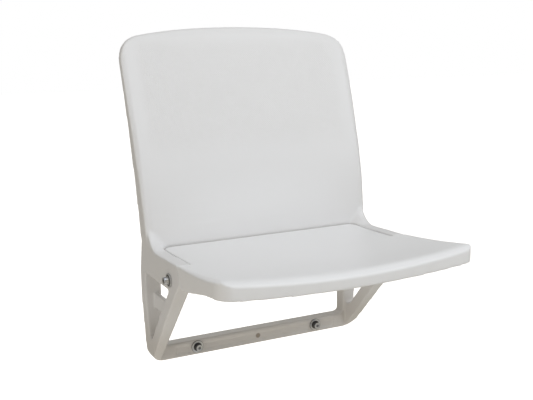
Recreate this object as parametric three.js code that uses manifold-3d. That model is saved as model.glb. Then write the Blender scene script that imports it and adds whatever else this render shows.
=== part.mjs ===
// A tip-up stadium seat that is bolted to the riser of a terrace step.
// Millimetres. +X is the sitter's left seen from the front (to the right of a viewer), the seat faces -Y, +Z is up.
// The origin is on the flat rear face of the cross bar, in the middle between the two wall bolts.

import * as THREE from 'three';
import * as BufferGeometryUtils from 'three/addons/utils/BufferGeometryUtils.js';
import Module from 'manifold-3d';

const wasm = await Module();
wasm.setup();

// Driving dimensions of the whole seat
const SEAT_WIDTH = 450;
const SEAT_DEPTH = 338;          // groove at the rear to the middle of the front edge
const SEAT_REAR_Y = -54;         // rear edge of the seat pan, in front of the wall
const SEAT_REAR_Z = 208;         // top of the seat pan at its rear edge, above the wall bolts
const BACK_TOP_FLARE = 10;       // each side of the backrest's top stands out this far past the arms
const BACK_TOP_Z = 592;

// Rear frame: two legs and the cross bar, flat against the wall
const LEG_WIDTH = 30;
const LEG_DEPTH = 26;
const LEG_FOOT_TAPER = 5;        // each leg's outer face leans in this much at the foot
const LEG_TAPER_TOP_Z = 110;
const HEEL_RADIUS = 26;          // rounding of each leg's lower rear corner, seen from the side
const BAR_BOTTOM_Z = -16;
const BAR_TOP_Z = 13;
const FOOT_CORNER_RADIUS = 26;
const BAR_CORNER_RADIUS = 8;
const CHANNEL_DEPTH = 2.5;       // shallow channel in the front of the bar
const CHANNEL_LIP = 7;
const CHANNEL_LOW_LIP = 3.5;
const CHANNEL_END_MARGIN = 24;
const GATE_MARK_DIAMETER = 6;
const GATE_MARK_DEPTH = 0.8;
const GATE_MARK_DROP = 2;

// Side brackets: arm on top, strut in front
const ARM_WIDTH = 24;
const ARM_TOP_Z = 211;
const ARM_REAR_TOP_Z = 208;
const ARM_BOTTOM_Z = 159;
const STRUT_FOOT_Y = -39;        // where the strut's front face passes the height of the bolts
const STRUT_LEAN = 0.9;          // forward travel for each unit of height
const STRUT_DEPTH = 32;
const WINDOW_RADIUS = 8;
const RIB_TOP_Z = 118;           // level band across the inner part of the open triangle, from leg to strut
const RIB_HEIGHT = 28;
const RIB_WIDTH = 8;
const BRACKET_TOP_Z = 250;      // the bracket's rear runs up behind the shell to here
const SIDE_FILLET_RADIUS = 48;   // hollow curve from the arm up into the backrest's edge
const SIDE_FILLET_SPREAD = 38;   // across this width, inwards from the outer face, the curve dies away
const FILLET_REACH = 1.2;        // the curve is at its full size this much before the outer face

// Backrest
const BACK_WALL = 4.5;
const BACK_EDGE_WALL = 5;
const BACK_BOTTOM_Z = 203;
const BACK_CROWN = 22;           // the top edge is this much higher in the middle
const BACK_TOP_CORNER_RADIUS = 42;
const BACK_HOLLOW = 12;          // the middle of the back lies this far behind its side edges
const BACK_EDGE_ROLL = 5;
const BACK_EDGE_ROLL_WIDTH = 11;
const BACK_LOW_FLARE = 2;        // it stands out this much just above them
const LOW_FLARE_RISE = 0.06;     // share of the back's height over which that step grows
const BACK_LEAN = 108;           // from the backrest's foot to its top, towards the wall
const BACK_FLANGE_LOW = 30;      // the edge turns back this far at the seat, and less towards the top
const BACK_FLANGE_TOP = 12;
const BACK_CORNER_HANDLE = 0.86; // how squarely the curve fills each top corner
const HOLLOW_REACH = 3;          // the hollow is at its full depth a third of the way up
const FLANGE_REACH = 1.15;

const NOSE_LOW_RISE = 3.6;       // the round end runs out into the strut this far above the pivot
const NOSE_TOP_Y = -187;         // the arm's flat top ends here and its round end begins

// Seat pan
const PAN_WALL = 4.5;
const PAN_SKIRT_WALL = 5;
const SIDE_GAP = 1.8;            // running gap between the pan and the arms
const PAN_REAR_CORNER_RADIUS = 14;
const PAN_FRONT_CORNER_RADIUS = 26;
const PAN_FRONT_BOW = 11;        // the front edge is this much further forward in the middle
const PAN_FLARE = 6.5;           // each side stands out this much further at the front
const PAN_FRONT_RISE = 27;       // the pan's sides climb this much towards the front
const PAN_DISH = 12;
const DISH_REACH = 1.25;
const PAN_EDGE_ROLL = 2.5;       // at the rear; it grows to twice this at the front
const PAN_EDGE_ROLL_WIDTH = 6;
const PAN_FRONT_ROLL = 12;
const PAN_FRONT_ROLL_WIDTH = 20;
const RIM_LOW_REAR_Z = 174;      // lower edge of the rim where it meets the arms
const RIM_LOW_FRONT_Z = 203;     // and at the front corners
const RIM_SAG = 7;               // the front's lower edge hangs this much lower in the middle
const RIM_CLIMB = 185;           // it climbs over this length
const SKIRT_NESTED = 17;         // the rim is lower where the pan lies between the arms

// Hinge
const PIVOT_Y = -155;
const PIVOT_Z = 178;
const NOSE_GAP = 1;              // between the round arm end and the seat's hollow shoulder
const PIVOT_BOLT_DIAMETER = 8;
const LUG_THICKNESS = 10;
const LUG_RADIUS = 16;
const LUG_SIDE_GAP = 2;          // between a lug and its arm
const SWEEP_GAP = 2.6;           // between the seat's rear edge and the backrest's foot
const BUSH_DIAMETER = 14;
const BUSH_FLANGE_DIAMETER = 20;
const BUFFER_DIAMETER = 10;
const BUFFER_HEIGHT = 6;
const LEDGE_REACH = 13;          // how far a stop ledge stands out from its strut
const LEDGE_THICKNESS = 6;
const LEDGE_LENGTH = 10;

// Fasteners
const BOLT_SPACING = 256;        // between the two wall bolts
const BOLT_DIAMETER = 8;
const BOLT_LENGTH_IN_WALL = 18;
const BOLT_HEAD_DIAMETER = 13;
const BOLT_HEAD_HEIGHT = 8;
const HEX_SOCKET = 6;
const HEX_SOCKET_DEPTH = 4.5;
const WASHER_DIAMETER = 24;
const WASHER_SEAT_MARGIN = 1;     // the flat seat under a washer is this much wider all round
const WASHER_THICKNESS = 2;
const NUT_ACROSS_FLATS = 13;
const NUT_THICKNESS = 6.5;
const HOLE_CLEARANCE = 0.5;      // all round a bolt in its hole
const FIT_GAP = 0.3;             // between faces that touch on the real seat
const SCREW_DIAMETER = 4;
const SCREW_HEAD_DIAMETER = 8;
const SCREW_HEAD_HEIGHT = 2.6;
const SCREW_LENGTH = 10;

// Underside shell
const UNDER_WALL = 3.2;
const UNDER_INSET = 1;           // the shell stays this far inside the rim
const UNDER_LIFT = 2;            // and this far above the rim's lower edge
const COVER_RAMP = 36;
const MID_SCREW_SHARE = 0.56;    // the middle screws, between the rear and the front ones
const UNDER_NUT_CLEARANCE = 9.5; // its rear part stays clear of the hinge nuts
const SCREW_BOSS_DIAMETER = 12;
const SPOT_DEPTH = 0.7;          // flat seat sunk into the cover under each screw head

// One overrun serves every cut
const OVERRUN = 2;

const HALF_SEAT = SEAT_WIDTH / 2;
const BACK_HALF_TOP = HALF_SEAT + BACK_TOP_FLARE;
const ARM_INNER_X = HALF_SEAT - ARM_WIDTH;
const LEG_INNER_X = HALF_SEAT - LEG_WIDTH;
const PAN_NARROW_HALF = ARM_INNER_X - SIDE_GAP;
const PAN_FRONT_Y = SEAT_REAR_Y - SEAT_DEPTH;
const PAN_SIDE_FRONT_Y = PAN_FRONT_Y + PAN_FRONT_BOW;

const LUG_OUTER_X = ARM_INNER_X - LUG_SIDE_GAP;
const UNDER_REAR_HALF = LUG_OUTER_X - LUG_THICKNESS - NUT_THICKNESS - UNDER_NUT_CLEARANCE;
const SWEEP_RADIUS = Math.hypot(SEAT_REAR_Y - PIVOT_Y, SEAT_REAR_Z - PIVOT_Z) + SWEEP_GAP;
const BUFFER_X = ARM_INNER_X - BUFFER_DIAMETER / 2 - SIDE_GAP;
const LEDGE_Y = PIVOT_Y - LUG_RADIUS - LEDGE_LENGTH / 2 - 2 * FIT_GAP;
const ARC_HANDLE = 0.55;         // handle length that makes a curve follow a quarter circle
const FINE_GRID = 26;            // cells along each side of a curved sheet that is seen
const COARSE_GRID = 18;          // and of one that is hidden
const EDGE_BUNCH = 1.6;          // more of a sheet's cells lie near its two side edges
const FAR_BUNCH = 1.35;          // and near its far edge

const COLOURS = {
  shell: { color: 0xe4e3e0, roughness: 0.42, metalness: 0 },
  seat: { color: 0xe6e5e2, roughness: 0.4, metalness: 0 },
  underside: { color: 0xd8d6d1, roughness: 0.5, metalness: 0 },
  zinc: { color: 0xb9bdc2, roughness: 0.32, metalness: 0.9 },
  nylon: { color: 0xeceae2, roughness: 0.5, metalness: 0 },
  rubber: { color: 0x2b2b2d, roughness: 0.85, metalness: 0 },
};

const group = new THREE.Group();

// Solids

function toSolid(geometry) {
  const bare = geometry.clone();
  bare.deleteAttribute('normal');
  bare.deleteAttribute('uv');
  const merged = BufferGeometryUtils.mergeVertices(bare, 1e-4);
  const mesh = new wasm.Mesh({
    numProp: 3,
    vertProperties: new Float32Array(merged.attributes.position.array),
    triVerts: new Uint32Array(merged.index.array),
  });
  return new wasm.Manifold(mesh);
}

function toGeometry(solid) {
  const mesh = solid.getMesh();
  const geometry = new THREE.BufferGeometry();
  geometry.setAttribute('position', new THREE.BufferAttribute(new Float32Array(mesh.vertProperties), 3));
  geometry.setIndex(new THREE.BufferAttribute(new Uint32Array(mesh.triVerts), 1));
  geometry.computeVertexNormals();
  return geometry;
}

function addPiece(name, solid, finish, parent) {
  const mesh = new THREE.Mesh(toGeometry(solid), new THREE.MeshStandardMaterial(COLOURS[finish]));
  mesh.name = name;
  parent.add(mesh);
  return mesh;
}

function box(x0, x1, y0, y1, z0, z1) {
  const geometry = new THREE.BoxGeometry(x1 - x0, y1 - y0, z1 - z0);
  geometry.translate((x0 + x1) / 2, (y0 + y1) / 2, (z0 + z1) / 2);
  return toSolid(geometry);
}

// A cylinder along X
function rodX(radius, x0, x1, y, z, sides = 28) {
  const geometry = new THREE.CylinderGeometry(radius, radius, x1 - x0, sides);
  geometry.rotateZ(Math.PI / 2);
  geometry.translate((x0 + x1) / 2, y, z);
  return toSolid(geometry);
}

// A cylinder along Y
function rodY(radius, y0, y1, x, z, sides = 28) {
  const geometry = new THREE.CylinderGeometry(radius, radius, y1 - y0, sides);
  geometry.translate(x, (y0 + y1) / 2, z);
  return toSolid(geometry);
}

// A cylinder along Z
function rodZ(radius, z0, z1, x, y, sides = 28) {
  const geometry = new THREE.CylinderGeometry(radius, radius, z1 - z0, sides);
  geometry.rotateX(Math.PI / 2);
  geometry.translate(x, y, (z0 + z1) / 2);
  return toSolid(geometry);
}

// A prism whose outline lies in the x-z plane, from y0 to y1
function prismY(shape, y0, y1, curveSteps = 8) {
  const geometry = new THREE.ExtrudeGeometry(shape, { depth: y1 - y0, bevelEnabled: false, curveSegments: curveSteps });
  geometry.rotateX(Math.PI / 2);
  geometry.translate(0, y1, 0);
  return toSolid(geometry);
}

// A prism whose outline lies in the y-z plane, from x0 to x1
function prismX(shape, x0, x1, curveSteps = 8) {
  const geometry = new THREE.ExtrudeGeometry(shape, { depth: x1 - x0, bevelEnabled: false, curveSegments: curveSteps });
  const turn = new THREE.Matrix4().makeBasis(
    new THREE.Vector3(0, 1, 0), new THREE.Vector3(0, 0, 1), new THREE.Vector3(1, 0, 0),
  );
  geometry.applyMatrix4(turn);
  geometry.translate(x0, 0, 0);
  return toSolid(geometry);
}

// A prism whose outline lies in the x-y plane, from z0 to z1
function prismZ(shape, z0, z1, curveSteps = 8) {
  const geometry = new THREE.ExtrudeGeometry(shape, { depth: z1 - z0, bevelEnabled: false, curveSegments: curveSteps });
  geometry.translate(0, 0, z0);
  return toSolid(geometry);
}

// A closed block between two sheets of points that share one grid
function sheetBlock(columns, rows, upper, lower) {
  const positions = [];
  const index = [];
  const width = columns + 1;
  for (const sheet of [upper, lower]) {
    for (let j = 0; j <= rows; j += 1) {
      for (let i = 0; i <= columns; i += 1) positions.push(...sheet(i / columns, j / rows));
    }
  }
  const under = width * (rows + 1);
  const quad = (a, b, c, d) => index.push(a, b, c, a, c, d);
  for (let j = 0; j < rows; j += 1) {
    for (let i = 0; i < columns; i += 1) {
      const a = j * width + i;
      quad(a, a + 1, a + 1 + width, a + width);
      quad(under + a, under + a + width, under + a + 1 + width, under + a + 1);
    }
  }
  for (let i = 0; i < columns; i += 1) {
    const first = i;
    const last = rows * width + i;
    quad(first, under + first, under + first + 1, first + 1);
    quad(last, last + 1, under + last + 1, under + last);
  }
  for (let j = 0; j < rows; j += 1) {
    const first = j * width;
    const last = j * width + columns;
    quad(first, first + width, under + first + width, under + first);
    quad(last, under + last, under + last + width, last + width);
  }
  const geometry = new THREE.BufferGeometry();
  geometry.setAttribute('position', new THREE.BufferAttribute(new Float32Array(positions), 3));
  geometry.setIndex(index);
  const solid = toSolid(geometry);
  if (solid.volume() > 0) return solid;
  for (let k = 0; k < index.length; k += 3) {
    const swap = index[k + 1];
    index[k + 1] = index[k + 2];
    index[k + 2] = swap;
  }
  geometry.setIndex(index);
  return toSolid(geometry);
}

function mirrorX(solid) {
  return solid.mirror([1, 0, 0]);
}

function mix(a, b, share) {
  return a + (b - a) * share;
}

function clamp01(value) {
  return Math.min(1, Math.max(0, value));
}

function smooth(share) {
  const t = clamp01(share);
  return t * t * (3 - 2 * t);
}

// How far a rolled edge has dropped at a distance inside it
function edgeRoll(distance, width, drop) {
  const t = clamp01(1 - distance / width);
  return drop * (1 - Math.sqrt(Math.max(0, 1 - t * t)));
}

// Spreads grid shares from -1 to 1 so that more of them fall near both edges
function denseEnds(share, power = 1.5) {
  const t = share * 2 - 1;
  return Math.sign(t) * (1 - (1 - Math.abs(t)) ** power);
}

// Backrest

// The front of the back's side edges, seen from the side: upright at the seat, leaning further back towards the top
// Each pair is a share of the height and the share of the lean that is reached there
const BACK_LEAN_SHARES = [
  [-0.005, 0.01], [0.13, 0.055], [0.3, 0.157], [0.48, 0.333], [0.66, 0.546], [0.84, 0.778], [1.005, 1],
];
const BACK_LINE = new THREE.CatmullRomCurve3(BACK_LEAN_SHARES.map(([rise, lean]) => new THREE.Vector3(
  0, SEAT_REAR_Y + BACK_LEAN * lean, mix(BACK_BOTTOM_Z, BACK_TOP_Z, rise),
)));
const BACK_LINE_POINTS = BACK_LINE.getPoints(120);

function backLineY(z) {
  let k = 0;
  while (k < BACK_LINE_POINTS.length - 2 && BACK_LINE_POINTS[k + 1].z < z) k += 1;
  const a = BACK_LINE_POINTS[k];
  const b = BACK_LINE_POINTS[k + 1];
  return mix(a.y, b.y, (z - a.z) / (b.z - a.z));
}

function backShare(z) {
  return clamp01((z - BACK_BOTTOM_Z) / (BACK_TOP_Z - BACK_BOTTOM_Z));
}

function backHalfWidth(z) {
  const low = BACK_LOW_FLARE * smooth(backShare(z) / LOW_FLARE_RISE);
  const high = (BACK_TOP_FLARE - BACK_LOW_FLARE) * (1 - (1 - backShare(z)) ** 2);
  return HALF_SEAT + low + high;
}

function backTopZ(x) {
  const share = x / BACK_HALF_TOP;
  return BACK_TOP_Z - BACK_CROWN * (0.75 * share ** 2 + 0.25 * share ** 4);
}

function flangeDepth(z) {
  return mix(BACK_FLANGE_LOW, BACK_FLANGE_TOP, smooth(backShare(z) * FLANGE_REACH));
}

function backFrontY(x, z) {
  const half = backHalfWidth(z);
  const share = clamp01(Math.abs(x) / half);
  const hollow = BACK_HOLLOW * (1 - share ** 2) * smooth(backShare(z) * HOLLOW_REACH);
  const sideRoll = edgeRoll(half - Math.abs(x), BACK_EDGE_ROLL_WIDTH, BACK_EDGE_ROLL);
  const topRoll = edgeRoll(backTopZ(x) - z, BACK_EDGE_ROLL_WIDTH, BACK_EDGE_ROLL);
  return backLineY(z) + hollow + Math.max(sideRoll, topRoll);
}

// Outline of the backrest in the x-z plane, drawn in by an inset
function backOutline(inset, bottomZ) {
  const steps = 20;
  const shape = new THREE.Shape();
  const half = (z) => backHalfWidth(z) - inset;
  const radius = BACK_TOP_CORNER_RADIUS - inset / 2;
  const sideTopZ = backTopZ(BACK_HALF_TOP) - inset;
  const bendZ = sideTopZ - radius;
  shape.moveTo(half(bottomZ), bottomZ);
  for (let k = 1; k <= steps; k += 1) {
    const z = mix(bottomZ, bendZ, (k / steps) ** EDGE_BUNCH);
    shape.lineTo(half(z), z);
  }
  const cornerX = half(bendZ);
  const landX = cornerX - radius;
  const landZ = backTopZ(landX) - inset;
  shape.quadraticCurveTo(cornerX, mix(bendZ, landZ, BACK_CORNER_HANDLE), landX, landZ);
  for (let k = 1; k < steps; k += 1) {
    const x = mix(landX, -landX, k / steps);
    shape.lineTo(x, backTopZ(x) - inset);
  }
  shape.lineTo(-landX, landZ);
  shape.quadraticCurveTo(-cornerX, mix(bendZ, landZ, BACK_CORNER_HANDLE), -cornerX, bendZ);
  for (let k = steps - 1; k >= 0; k -= 1) {
    const z = mix(bottomZ, bendZ, (k / steps) ** EDGE_BUNCH);
    shape.lineTo(-half(z), z);
  }
  shape.closePath();
  return shape;
}

function backSheet(offset) {
  return (s, t) => {
    const x = denseEnds(s, EDGE_BUNCH) * (BACK_HALF_TOP + OVERRUN);
    const top = backTopZ(x) + OVERRUN;
    const z = mix(BACK_BOTTOM_Z - OVERRUN, top, 1 - (1 - t) ** FAR_BUNCH);
    return [x, backFrontY(x, Math.min(z, top)) + offset(z), z];
  };
}

function makeBackrest() {
  const reach = 2 * BACK_HALF_TOP;
  const outer = prismY(backOutline(0, BACK_BOTTOM_Z), -reach, reach);
  const inner = prismY(backOutline(BACK_EDGE_WALL, BACK_BOTTOM_Z - 2 * OVERRUN), -reach, reach);
  const body = sheetBlock(FINE_GRID, FINE_GRID, backSheet(() => 0), backSheet(flangeDepth));
  const beyond = (z) => flangeDepth(z) + reach / 4;
  const hollow = sheetBlock(COARSE_GRID, COARSE_GRID, backSheet(() => BACK_WALL), backSheet(beyond));
  return outer.intersect(body).subtract(inner.intersect(hollow));
}

// Side brackets

function strutFrontY(z) {
  return STRUT_FOOT_Y - STRUT_LEAN * z;
}

const NOSE_RADIUS = Math.hypot(PIVOT_Y - NOSE_TOP_Y, ARM_TOP_Z - PIVOT_Z);

// Outline of the whole bracket in the y-z plane
function bracketOutline() {
  const shape = new THREE.Shape();
  const topAngle = Math.asin((ARM_TOP_Z - PIVOT_Z) / NOSE_RADIUS);
  const noseSteps = 10;
  const noseLowZ = PIVOT_Z + NOSE_LOW_RISE;
  const lowAngle = Math.asin((noseLowZ - PIVOT_Z) / NOSE_RADIUS);
  shape.moveTo(0, BAR_BOTTOM_Z);
  shape.lineTo(0, ARM_BOTTOM_Z);
  const shellY = backLineY(BACK_BOTTOM_Z);
  shape.lineTo(backLineY(BRACKET_TOP_Z) + flangeDepth(BRACKET_TOP_Z), BRACKET_TOP_Z);
  shape.lineTo(backLineY(BRACKET_TOP_Z) + BACK_WALL, BRACKET_TOP_Z);
  shape.lineTo(shellY + BACK_WALL, ARM_REAR_TOP_Z);
  shape.lineTo(shellY - SIDE_FILLET_RADIUS, ARM_REAR_TOP_Z);
  for (let k = 0; k <= noseSteps; k += 1) {
    const angle = mix(topAngle, lowAngle, k / noseSteps);
    shape.lineTo(PIVOT_Y - NOSE_RADIUS * Math.cos(angle), PIVOT_Z + NOSE_RADIUS * Math.sin(angle));
  }
  shape.lineTo(strutFrontY(BAR_BOTTOM_Z), BAR_BOTTOM_Z);
  shape.closePath();
  return shape;
}

// Hollow curve between backrest and arm: full at the outer face and dying away inwards
function makeSideFillet() {
  const footZ = ARM_REAR_TOP_Z - OVERRUN / 2;
  const radiusAt = (s) => mix(OVERRUN / 2, SIDE_FILLET_RADIUS, smooth(s * FILLET_REACH));
  const placeAt = (s) => {
    const x = mix(HALF_SEAT - SIDE_FILLET_SPREAD, HALF_SEAT, s);
    const radius = radiusAt(s);
    return [x, radius, backFrontY(x, footZ + radius) + OVERRUN / 2];
  };
  const curve = (s, t) => {
    const [x, radius, y] = placeAt(s);
    const turn = t * Math.PI / 2;
    return [x, y - radius * (1 - Math.cos(turn)), footZ + radius * (1 - Math.sin(turn))];
  };
  const corner = (s, t) => {
    const [x, radius, y] = placeAt(s);
    const rearY = y + mix(0, BACK_EDGE_ROLL, s) + OVERRUN / 2;
    const lowZ = footZ - OVERRUN / 2;
    return [x, mix(rearY, y - radius, clamp01(2 * t - 1)), mix(footZ + radius, lowZ, clamp01(2 * t))];
  };
  return sheetBlock(8, 8, curve, corner);
}

// The open triangle between leg, strut and arm
function windowOutline() {
  const r = WINDOW_RADIUS;
  const lowZ = (STRUT_FOOT_Y + STRUT_DEPTH + LEG_DEPTH) / STRUT_LEAN;
  const rearY = -LEG_DEPTH;
  const frontY = (z) => strutFrontY(z) + STRUT_DEPTH;
  const topZ = ARM_BOTTOM_Z;
  const shape = new THREE.Shape();
  shape.moveTo(rearY, lowZ + 3 * r);
  shape.lineTo(rearY, topZ - r);
  shape.quadraticCurveTo(rearY, topZ, rearY - r, topZ);
  shape.lineTo(frontY(topZ) + r, topZ);
  shape.quadraticCurveTo(frontY(topZ), topZ, frontY(topZ - r), topZ - r);
  shape.lineTo(frontY(lowZ + 2 * r), lowZ + 2 * r);
  shape.quadraticCurveTo(rearY, lowZ + r, rearY, lowZ + 3 * r);
  return shape;
}

// Outline of legs and bar together, seen from the front
function rearFrameOutline(topZ) {
  const shape = new THREE.Shape();
  const r = FOOT_CORNER_RADIUS;
  const foot = HALF_SEAT - LEG_FOOT_TAPER;
  shape.moveTo(-HALF_SEAT, topZ);
  shape.lineTo(-HALF_SEAT, LEG_TAPER_TOP_Z);
  shape.lineTo(-foot, BAR_BOTTOM_Z + r);
  shape.absarc(-foot + r, BAR_BOTTOM_Z + r, r, Math.PI, Math.PI * 1.5, false);
  shape.lineTo(foot - r, BAR_BOTTOM_Z);
  shape.absarc(foot - r, BAR_BOTTOM_Z + r, r, Math.PI * 1.5, Math.PI * 2, false);
  shape.lineTo(HALF_SEAT, LEG_TAPER_TOP_Z);
  shape.lineTo(HALF_SEAT, topZ);
  shape.closePath();
  return shape;
}

function rearFrameOpening(topZ) {
  const shape = new THREE.Shape();
  const r = BAR_CORNER_RADIUS;
  shape.moveTo(-LEG_INNER_X, topZ);
  shape.lineTo(-LEG_INNER_X, BAR_TOP_Z + r);
  shape.absarc(-LEG_INNER_X + r, BAR_TOP_Z + r, r, Math.PI, Math.PI * 1.5, false);
  shape.lineTo(LEG_INNER_X - r, BAR_TOP_Z);
  shape.absarc(LEG_INNER_X - r, BAR_TOP_Z + r, r, Math.PI * 1.5, Math.PI * 2, false);
  shape.lineTo(LEG_INNER_X, topZ);
  shape.closePath();
  return shape;
}

// What is cut off each leg's lower rear corner
function heelOutline() {
  const shape = new THREE.Shape();
  const r = HEEL_RADIUS;
  shape.moveTo(OVERRUN, BAR_BOTTOM_Z - OVERRUN);
  shape.lineTo(OVERRUN, BAR_BOTTOM_Z + r);
  shape.lineTo(0, BAR_BOTTOM_Z + r);
  shape.absarc(-r, BAR_BOTTOM_Z + r, r, 0, -Math.PI / 2, true);
  shape.lineTo(-r, BAR_BOTTOM_Z - OVERRUN);
  shape.closePath();
  return shape;
}

function makeBracket() {
  const side = prismX(bracketOutline(), ARM_INNER_X, HALF_SEAT);
  const opening = prismX(windowOutline(), LEG_INNER_X - OVERRUN, HALF_SEAT + OVERRUN);
  const round = prismY(rearFrameOutline(BACK_TOP_Z), -SEAT_WIDTH, SEAT_WIDTH);
  const heel = prismX(heelOutline(), LEG_INNER_X, HALF_SEAT + OVERRUN);
  const ribFrontY = strutFrontY(RIB_TOP_Z) + STRUT_DEPTH - OVERRUN;
  const rib = box(
    ARM_INNER_X, ARM_INNER_X + RIB_WIDTH, ribFrontY, OVERRUN - LEG_DEPTH, RIB_TOP_Z - RIB_HEIGHT, RIB_TOP_Z,
  );
  return side.subtract(opening).add(rib).subtract(heel).intersect(round);
}

// The space that the seat's rear part sweeps through between the arms: a drum about the hinge with rounded ends
function sweptSpace() {
  const steps = 6;
  const r = PAN_REAR_CORNER_RADIUS;
  const outline = [[0, -ARM_INNER_X]];
  for (let k = 0; k <= steps; k += 1) {
    const turn = k / steps * Math.PI / 2;
    outline.push([SWEEP_RADIUS - r * (1 - Math.sin(turn)), r * (1 - Math.cos(turn)) - ARM_INNER_X]);
  }
  const mirrored = outline.map(([radius, x]) => [radius, -x]).reverse();
  return alongX([...outline, ...mirrored], 96).translate([0, PIVOT_Y, PIVOT_Z]);
}

function makeBackFrame() {
  const plate = prismY(rearFrameOutline(ARM_BOTTOM_Z + OVERRUN), -LEG_DEPTH, 0);
  const opening = prismY(rearFrameOpening(ARM_BOTTOM_Z + 2 * OVERRUN), -LEG_DEPTH - OVERRUN, OVERRUN);
  let frame = plate.subtract(opening);
  const bracket = makeBracket();
  const heel = prismX(heelOutline(), LEG_INNER_X, HALF_SEAT + OVERRUN);
  const fillet = makeSideFillet();
  frame = frame.subtract(heel).subtract(mirrorX(heel));
  frame = frame.add(bracket).add(mirrorX(bracket)).add(makeBackrest());
  frame = frame.add(fillet).add(mirrorX(fillet));

  // Shallow channel between the lips of the bar, with a round seat left under each washer
  const channelHalf = LEG_INNER_X - CHANNEL_END_MARGIN;
  let channel = box(
    -channelHalf, channelHalf,
    -LEG_DEPTH - OVERRUN, -LEG_DEPTH + CHANNEL_DEPTH,
    BAR_BOTTOM_Z + CHANNEL_LOW_LIP, BAR_TOP_Z - CHANNEL_LIP,
  );
  for (const side of [-1, 1]) {
    const seatRadius = WASHER_DIAMETER / 2 + WASHER_SEAT_MARGIN;
    channel = channel.subtract(rodY(seatRadius, -LEG_DEPTH - 2 * OVERRUN, 0, side * BOLT_SPACING / 2, 0));
  }
  frame = frame.subtract(channel);
  frame = frame.subtract(rodY(
    GATE_MARK_DIAMETER / 2, -LEG_DEPTH - OVERRUN, -LEG_DEPTH + CHANNEL_DEPTH + GATE_MARK_DEPTH,
    0, -GATE_MARK_DROP, 16,
  ));
  const cornerFill = box(
    ARM_INNER_X - PAN_REAR_CORNER_RADIUS, ARM_INNER_X + OVERRUN,
    SEAT_REAR_Y - PAN_REAR_CORNER_RADIUS, backLineY(BACK_BOTTOM_Z) + BACK_WALL,
    SEAT_REAR_Z - SKIRT_NESTED, ARM_REAR_TOP_Z,
  );
  frame = frame.add(cornerFill).add(mirrorX(cornerFill)).subtract(sweptSpace());

  for (const side of [-1, 1]) {
    const wallHole = BOLT_DIAMETER / 2 + HOLE_CLEARANCE;
    frame = frame.subtract(rodY(wallHole, -LEG_DEPTH - OVERRUN, OVERRUN, side * BOLT_SPACING / 2, 0));
    const middle = side * (ARM_INNER_X + ARM_WIDTH / 2);
    const reach = ARM_WIDTH / 2 + OVERRUN;
    const armHole = PIVOT_BOLT_DIAMETER / 2 + HOLE_CLEARANCE;
    frame = frame.subtract(rodX(armHole, middle - reach, middle + reach, PIVOT_Y, PIVOT_Z));
  }
  const ledge = box(
    ARM_INNER_X - LEDGE_REACH, ARM_INNER_X + OVERRUN,
    LEDGE_Y - LEDGE_LENGTH / 2, LEDGE_Y + LEDGE_LENGTH / 2,
    bufferBaseZ() - LEDGE_THICKNESS - FIT_GAP, bufferBaseZ() - FIT_GAP,
  );
  return frame.add(ledge).add(mirrorX(ledge));
}

// Seat pan

function bufferBaseZ() {
  const x = PAN_NARROW_HALF - PAN_SKIRT_WALL;
  return panBareZ(x, LEDGE_Y) - SKIRT_NESTED - BUFFER_HEIGHT - 2 * FIT_GAP;
}

function panShare(y) {
  return clamp01((SEAT_REAR_Y - y) / (SEAT_REAR_Y - PAN_SIDE_FRONT_Y));
}

function panFrontY(x) {
  return PAN_FRONT_Y + PAN_FRONT_BOW * (x / HALF_SEAT) ** 2;
}

function panHalfWidth(y) {
  if (y > NOSE_TOP_Y) return PAN_NARROW_HALF;
  return HALF_SEAT + PAN_FLARE * clamp01((NOSE_TOP_Y - y) / (NOSE_TOP_Y - PAN_SIDE_FRONT_Y));
}

// Height of the pan's surface without its rolled edges
function panBareZ(x, y) {
  const share = panShare(y);
  const across = clamp01(Math.abs(x) / HALF_SEAT);
  const rise = PAN_FRONT_RISE * share ** 2;
  const dish = PAN_DISH * (1 - across ** 2) * smooth(share * DISH_REACH);
  return SEAT_REAR_Z + rise - dish;
}

function panTopZ(x, y) {
  const growth = 1 + panShare(y) ** 2;
  const sideRoll = edgeRoll(panHalfWidth(y) - Math.abs(x), PAN_EDGE_ROLL_WIDTH * growth, PAN_EDGE_ROLL * growth);
  const frontRoll = edgeRoll(y - panFrontY(x), PAN_FRONT_ROLL_WIDTH, PAN_FRONT_ROLL);
  return panBareZ(x, y) - Math.hypot(sideRoll, frontRoll);
}

function rimLowZ(x, y) {
  const climb = smooth((NOSE_TOP_Y - y) / RIM_CLIMB);
  const across = clamp01(Math.abs(x) / HALF_SEAT);
  return mix(RIM_LOW_REAR_Z, RIM_LOW_FRONT_Z - RIM_SAG * (1 - across ** 2), climb);
}

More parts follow.
